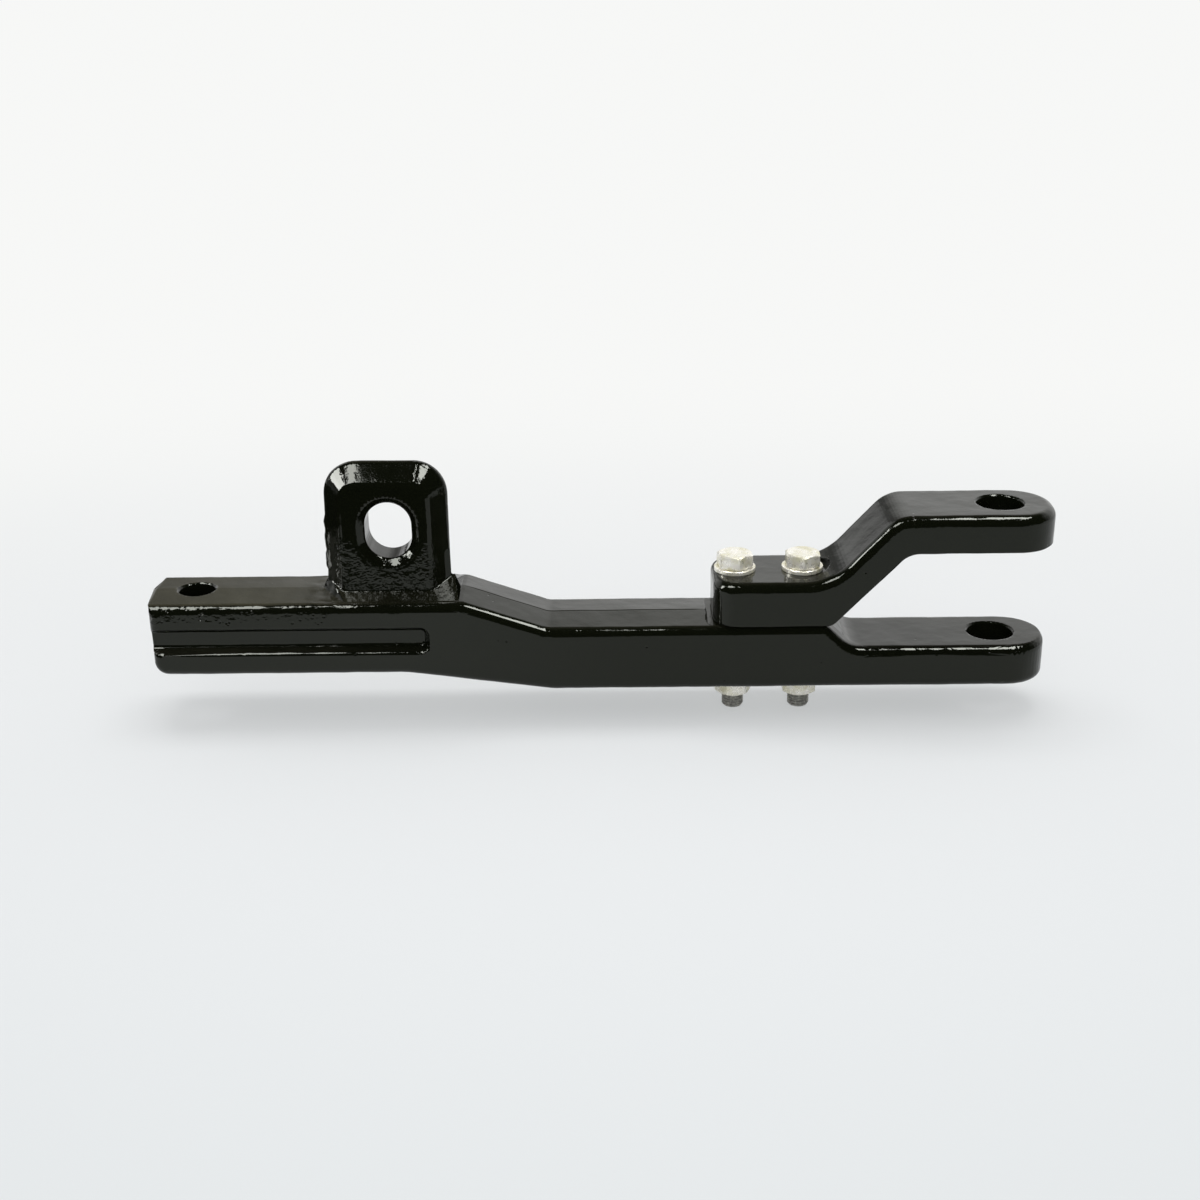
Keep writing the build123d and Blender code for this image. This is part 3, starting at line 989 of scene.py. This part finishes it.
@dataclass
class JawBolt:
    """One bolt of the jaw with its washer and nut, each made in place of its solid."""

    end: str
    head_turn: float
    nut_turn: float
    zinc: bpy.types.Material
    steel: bpy.types.Material
    hexagon: float = 12.0 * MM
    face: float = 11.3 * MM
    slope: float = math.tan(math.radians(30))
    shank: float = 8.0 * MM
    washer_gap: float = 0.5 * MM
    pitch: float = 2.0 * MM
    thread_depth: float = 1.15 * MM
    crest: float = 0.12
    root: tuple = (0.50, 0.62)
    thread_steps: int = 64
    thread_join: float = 0.01 * MM
    tip: float = 6.6 * MM
    easing: float = 0.3 * MM
    hex_crease: float = 24
    washer_crease: float = 30
    thread_crease: float = 35

    def place(
        self, bm: bmesh.types.BMesh, name: str, finish: bpy.types.Material, crease: float
    ) -> bpy.types.Object:
        """Moves a turned skin onto the bolt's axis and makes it a piece.

        Args:
            bm: The skin, which is freed.
            name: Name of the piece after that of its end.
            finish: Its material.
            crease: Angle above which its edges stay sharp, in degrees.

        Returns:
            The piece.
        """
        low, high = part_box(f"{self.end}_washer")
        bmesh.ops.translate(bm, verts=bm.verts, vec=((low.x + high.x) / 2, (low.y + high.y) / 2, 0))
        piece = as_piece(bm, f"{self.end}_{name}", finish)
        even_normals(piece, crease)
        return piece

    def head(self) -> None:
        """Builds the hexagon head on its thin collar, in place of the bolt's solid."""
        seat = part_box(f"{self.end}_washer")[1].z
        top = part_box(f"{self.end}_jaw_bolt")[1].z
        collar = Outline(self.face)
        hexagon = Outline(self.hexagon, math.radians(self.head_turn))
        above = seat + 2 * self.easing
        rings = [
            Ring(Outline(self.shank), seat),
            Ring(collar, seat),
            Ring(collar, above),
            Ring(hexagon, above),
            Ring(hexagon, top, self.slope, self.face),
            Ring(collar, top),
            Ring(Outline(self.face - 2 * self.easing), top),
            Ring(Outline(self.face - 4 * self.easing), top - self.easing / 2),
        ]
        piece = self.place(turned(rings), "jaw_bolt_head", self.zinc, self.hex_crease)
        settle(piece, Slot.ZINC, f"{self.end}_jaw_bolt")

    def washer(self) -> None:
        """Builds the washer with eased edges."""
        low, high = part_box(f"{self.end}_washer")
        outer = (high.x - low.x) / 2
        inner = self.shank + self.washer_gap
        rings = [
            Ring(Outline(inner), low.z),
            Ring(Outline(outer - self.easing), low.z),
            Ring(Outline(outer), low.z + self.easing),
            Ring(Outline(outer), high.z - self.easing),
            Ring(Outline(outer - self.easing), high.z),
            Ring(Outline(inner), high.z),
        ]
        piece = self.place(turned(rings), "washer_ring", self.zinc, self.washer_crease)
        settle(piece, Slot.ZINC, f"{self.end}_washer")

    def nut(self) -> None:
        """Builds the nut, chamfered at both ends, round the countersunk mouth of its thread."""
        low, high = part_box(f"{self.end}_lock_nut")
        hexagon = Outline(self.hexagon, math.radians(self.nut_turn))
        mouth = Outline(self.shank + 2 * self.easing)
        rings = [
            Ring(mouth, high.z),
            Ring(Outline(self.face), high.z),
            Ring(hexagon, high.z, self.slope, self.face),
            Ring(hexagon, low.z, -self.slope, self.face),
            Ring(Outline(self.face), low.z),
            Ring(mouth, low.z),
            Ring(Outline(self.shank - self.thread_depth), low.z + 4 * self.easing),
        ]
        piece = self.place(turned(rings), "lock_nut_hex", self.zinc, self.hex_crease)
        settle(piece, Slot.ZINC, f"{self.end}_lock_nut")

    def thread(self) -> None:
        """Builds the shank with the rolled thread that stands out below the nut."""
        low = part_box(f"{self.end}_jaw_bolt")[0].z
        nut_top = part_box(f"{self.end}_lock_nut")[1].z
        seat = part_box(f"{self.end}_washer")[1].z
        bm = bmesh.new()
        last = bmesh.ops.create_vert(bm, co=(self.shank, 0, seat))["vert"][0]
        stations = [(self.shank, nut_top)]
        height = nut_top
        while height > low - 2 * self.pitch:
            stations.append((self.shank, height - self.crest * self.pitch))
            for share in self.root:
                stations.append((self.shank - self.thread_depth, height - share * self.pitch))
            stations.append((self.shank, height - self.pitch))
            height -= self.pitch
        for reach, height in stations:
            last = bmesh.ops.extrude_vert_indiv(bm, verts=[last])["verts"][0]
            last.co = (reach, 0, height)
        bmesh.ops.spin(
            bm,
            geom=[*bm.verts, *bm.edges],
            cent=(0, 0, 0),
            axis=(0, 0, 1),
            dvec=(0, 0, self.pitch / self.thread_steps),
            angle=math.radians(360),
            steps=self.thread_steps,
        )
        bmesh.ops.remove_doubles(bm, verts=bm.verts, dist=self.thread_join)
        for height, side in ((low, -1), (seat, 1)):
            plane = bmesh.ops.bisect_plane(
                bm,
                geom=[*bm.verts, *bm.edges, *bm.faces],
                plane_co=(0, 0, height),
                plane_no=(0, 0, side),
                clear_outer=True,
            )
            rim = [g for g in plane["geom_cut"] if isinstance(g, bmesh.types.BMEdge)]
            bmesh.ops.edgeloop_fill(bm, edges=rim)
        for v in bm.verts:
            reach = v.co.xy.length
            limit = self.tip + (v.co.z - low)
            if reach > limit:
                v.co.xy *= limit / reach
        bmesh.ops.recalc_face_normals(bm, faces=bm.faces)
        piece = self.place(bm, "jaw_bolt_shank", self.steel, self.thread_crease)
        settle(piece, Slot.STEEL)

    def build(self) -> None:
        """Builds all pieces of the bolt."""
        self.head()
        self.washer()
        self.nut()
        self.thread()


# ---------------------------------------------------------------- the studio


@dataclass(frozen=True)
class Lamp:
    """A soft rectangular lamp."""

    name: str
    place: tuple
    width: float
    height: float
    watts: float
    reach: Reach


LAMPS = (
    Lamp("softbox", (0.30, 0.45, 2.30), 1.8, 0.9, 26.0, Reach.MATT),
    Lamp("fill", (0.40, -1.30, 0.50), 1.4, 0.5, 6.0, Reach.MATT),
    Lamp("left_box", (-0.80, -0.68, 2.20), 0.90, 1.00, 38.0, Reach.GLOSS),
    Lamp("right_box", (1.24, -0.28, 2.20), 0.90, 0.60, 32.0, Reach.GLOSS),
    Lamp("glint", (0.345, -0.66, 2.25), 0.035, 0.50, 2.0, Reach.GLOSS),
    Lamp("window", (-1.50, -0.10, 0.98), 0.46, 0.95, 26.0, Reach.GLOSS),
)


@dataclass(frozen=True)
class Room:
    """Pale wall low behind the part under a dark ceiling, as the paint mirrors it.

    Its limits are parts of the unit vector that looks from the part into the room.
    """

    dark: float = 0.012
    lit: float = 0.84
    seen: float = 0.93
    height: tuple = (0.52, 0.76)
    depth: tuple = (-0.15, 0.55)
    sides: tuple = (-0.34, 0.08, 0.13, 0.98)
    far_left: tuple = (-0.42, -0.26, 0.80, 0.0)

    def light(self) -> None:
        """Makes the room the scene's world."""
        world = bpy.data.worlds.new("room")
        world.use_nodes = True
        bpy.context.scene.world = world
        w = Wiring(world.node_tree)
        x, y, z = w.parts(w.node("ShaderNodeTexCoord").outputs["Generated"])
        across = w.maths("ADD", w.ramp(x, *self.sides), w.ramp(x, *self.far_left))
        behind = w.product(w.ramp(y, *self.depth), across)
        wall = w.maths("MULTIPLY_ADD", w.ramp(z, *self.height, 1.0, 0.0), behind, self.dark)
        path = w.node("ShaderNodeLightPath")
        unseen = w.mix(path.outputs["Is Glossy Ray"], self.lit, wall)
        backdrop = w.tree.nodes["Background"]
        backdrop.inputs["Color"].default_value = (1, 1, 1, 1)
        w.feed(backdrop.inputs["Strength"], w.mix(path.outputs["Is Camera Ray"], unseen, self.seen))


@dataclass
class Studio:
    """White sheet, soft lamps and the camera of the photograph."""

    floor_height: float
    sheet: float = 40.0
    lens: float = 49.61
    sensor: float = 36.0
    sight: float = 100.0
    pitch: float = math.radians(22.16)
    yaw: float = math.radians(-0.64)
    roll: float = math.radians(-0.84)
    centre: Vector = field(default_factory=lambda: Vector((0.25656, 0.0, -0.04175)))
    across: float = 0.0378
    above: float = 0.05384
    away: float = 1.23339
    target: Vector = field(default_factory=lambda: Vector((0.29, 0.0, 0.0)))

    def camera(self) -> None:
        """Puts the camera at the photograph's viewing angle."""
        right = Vector((1, 0, 0))
        ahead = Vector((0, math.cos(self.pitch), -math.sin(self.pitch)))
        up = Vector((0, math.sin(self.pitch), math.cos(self.pitch)))
        turn = Matrix.Rotation(-self.yaw, 3, "Z")
        place = turn @ (right * self.across + up * self.above - ahead * self.away) + self.centre
        rolled_right = math.cos(self.roll) * right + math.sin(self.roll) * up
        rolled_up = -math.sin(self.roll) * right + math.cos(self.roll) * up
        axes = Matrix((turn @ rolled_right, turn @ rolled_up, turn @ -ahead)).transposed()
        data = bpy.data.cameras.new("view")
        data.lens = self.lens
        data.sensor_width = self.sensor
        data.clip_end = self.sight
        camera = bpy.data.objects.new("view", data)
        camera.matrix_world = Matrix.Translation(place) @ axes.to_4x4()
        bpy.context.scene.collection.objects.link(camera)
        bpy.context.scene.camera = camera

    def floor(self) -> None:
        """Lays the sheet."""
        bm = bmesh.new()
        bmesh.ops.create_grid(bm, x_segments=1, y_segments=1, size=self.sheet / 2)
        bmesh.ops.translate(bm, verts=bm.verts, vec=(0, 0, self.floor_height))
        as_piece(bm, "sheet", PaleSheet("pale_sheet").make())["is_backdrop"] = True

    def hang(self, lamp: Lamp) -> None:
        """Hangs a soft rectangular lamp so that it faces the part.

        Args:
            lamp: The lamp.
        """
        data = bpy.data.lights.new(lamp.name, "AREA")
        data.shape = "RECTANGLE"
        data.size = lamp.width
        data.size_y = lamp.height
        data.energy = lamp.watts
        hung = bpy.data.objects.new(lamp.name, data)
        hung.location = lamp.place
        aim = self.target - Vector(lamp.place)
        hung.rotation_euler = aim.to_track_quat("-Z", "Y").to_euler()
        hung.visible_diffuse = lamp.reach is Reach.MATT
        hung.visible_glossy = lamp.reach is Reach.GLOSS
        bpy.context.scene.collection.objects.link(hung)

    def set_up(self) -> None:
        """Sets up the whole studio."""
        self.camera()
        self.floor()
        for lamp in LAMPS:
            self.hang(lamp)
        Room().light()
        bpy.context.scene.view_settings.view_transform = "Standard"


DRAWBAR_PATCHES = (
    # torn flash down the front of the lug
    Patch((0.085, -0.001, 0.045), (0.103, 0.0035, 0.083), 2.5 * MM, 0.9 * MM, 5 * MM, 0.8 * MM),
    # lumpy foot in front of it
    Patch((0.085, -0.001, 0.027), (0.104, 0.030, 0.046), 5 * MM, 0.8 * MM, 7 * MM, 0.2 * MM),
    # hammered lower half of its faces
    Patch((0.100, 0.010, 0.030), (0.182, 0.022, 0.041), 6 * MM, 0.28 * MM, 5 * MM),
    # scale marks on the land above the groove
    Patch((-0.040, 0.026, 0.010), (0.100, 0.040, 0.026), 4 * MM, 0.12 * MM, 6 * MM),
)
# end of the bolt, then the turn of its head and of its nut in degrees
JAW_BOLTS = (("front", 39.5, 8.0), ("rear", 30.0, 30.0))
STAND_GAP = 0.2 * MM

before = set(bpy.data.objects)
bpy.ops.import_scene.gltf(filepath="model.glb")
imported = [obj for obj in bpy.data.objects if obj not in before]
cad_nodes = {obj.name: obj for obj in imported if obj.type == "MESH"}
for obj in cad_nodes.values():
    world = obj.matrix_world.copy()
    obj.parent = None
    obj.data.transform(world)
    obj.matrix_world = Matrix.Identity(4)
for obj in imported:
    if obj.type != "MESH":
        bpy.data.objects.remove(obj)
solid_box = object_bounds()


def main() -> None:
    """Builds the part and the studio."""
    logging.basicConfig(level=logging.INFO, format="%(name)s: %(message)s")
    worn = GlossPaint("gloss_paint_worn", worn=True).make()
    paint = GlossPaint("gloss_paint").make()
    zinc = ZincPlate("yellow_zinc").make()
    steel = DarkThread("phosphated_steel").make()
    Forging("drawbar", worn, 48, DRAWBAR_PATCHES, (GROOVE_RIM,), eye=True).build()
    Forging("upper_jaw", paint, 28).build()
    for end, head_turn, nut_turn in JAW_BOLTS:
        JawBolt(end, head_turn, nut_turn, zinc, steel).build()
    Studio(floor_height=solid_box[0].z - STAND_GAP).set_up()


if __name__ == "__main__":
    main()
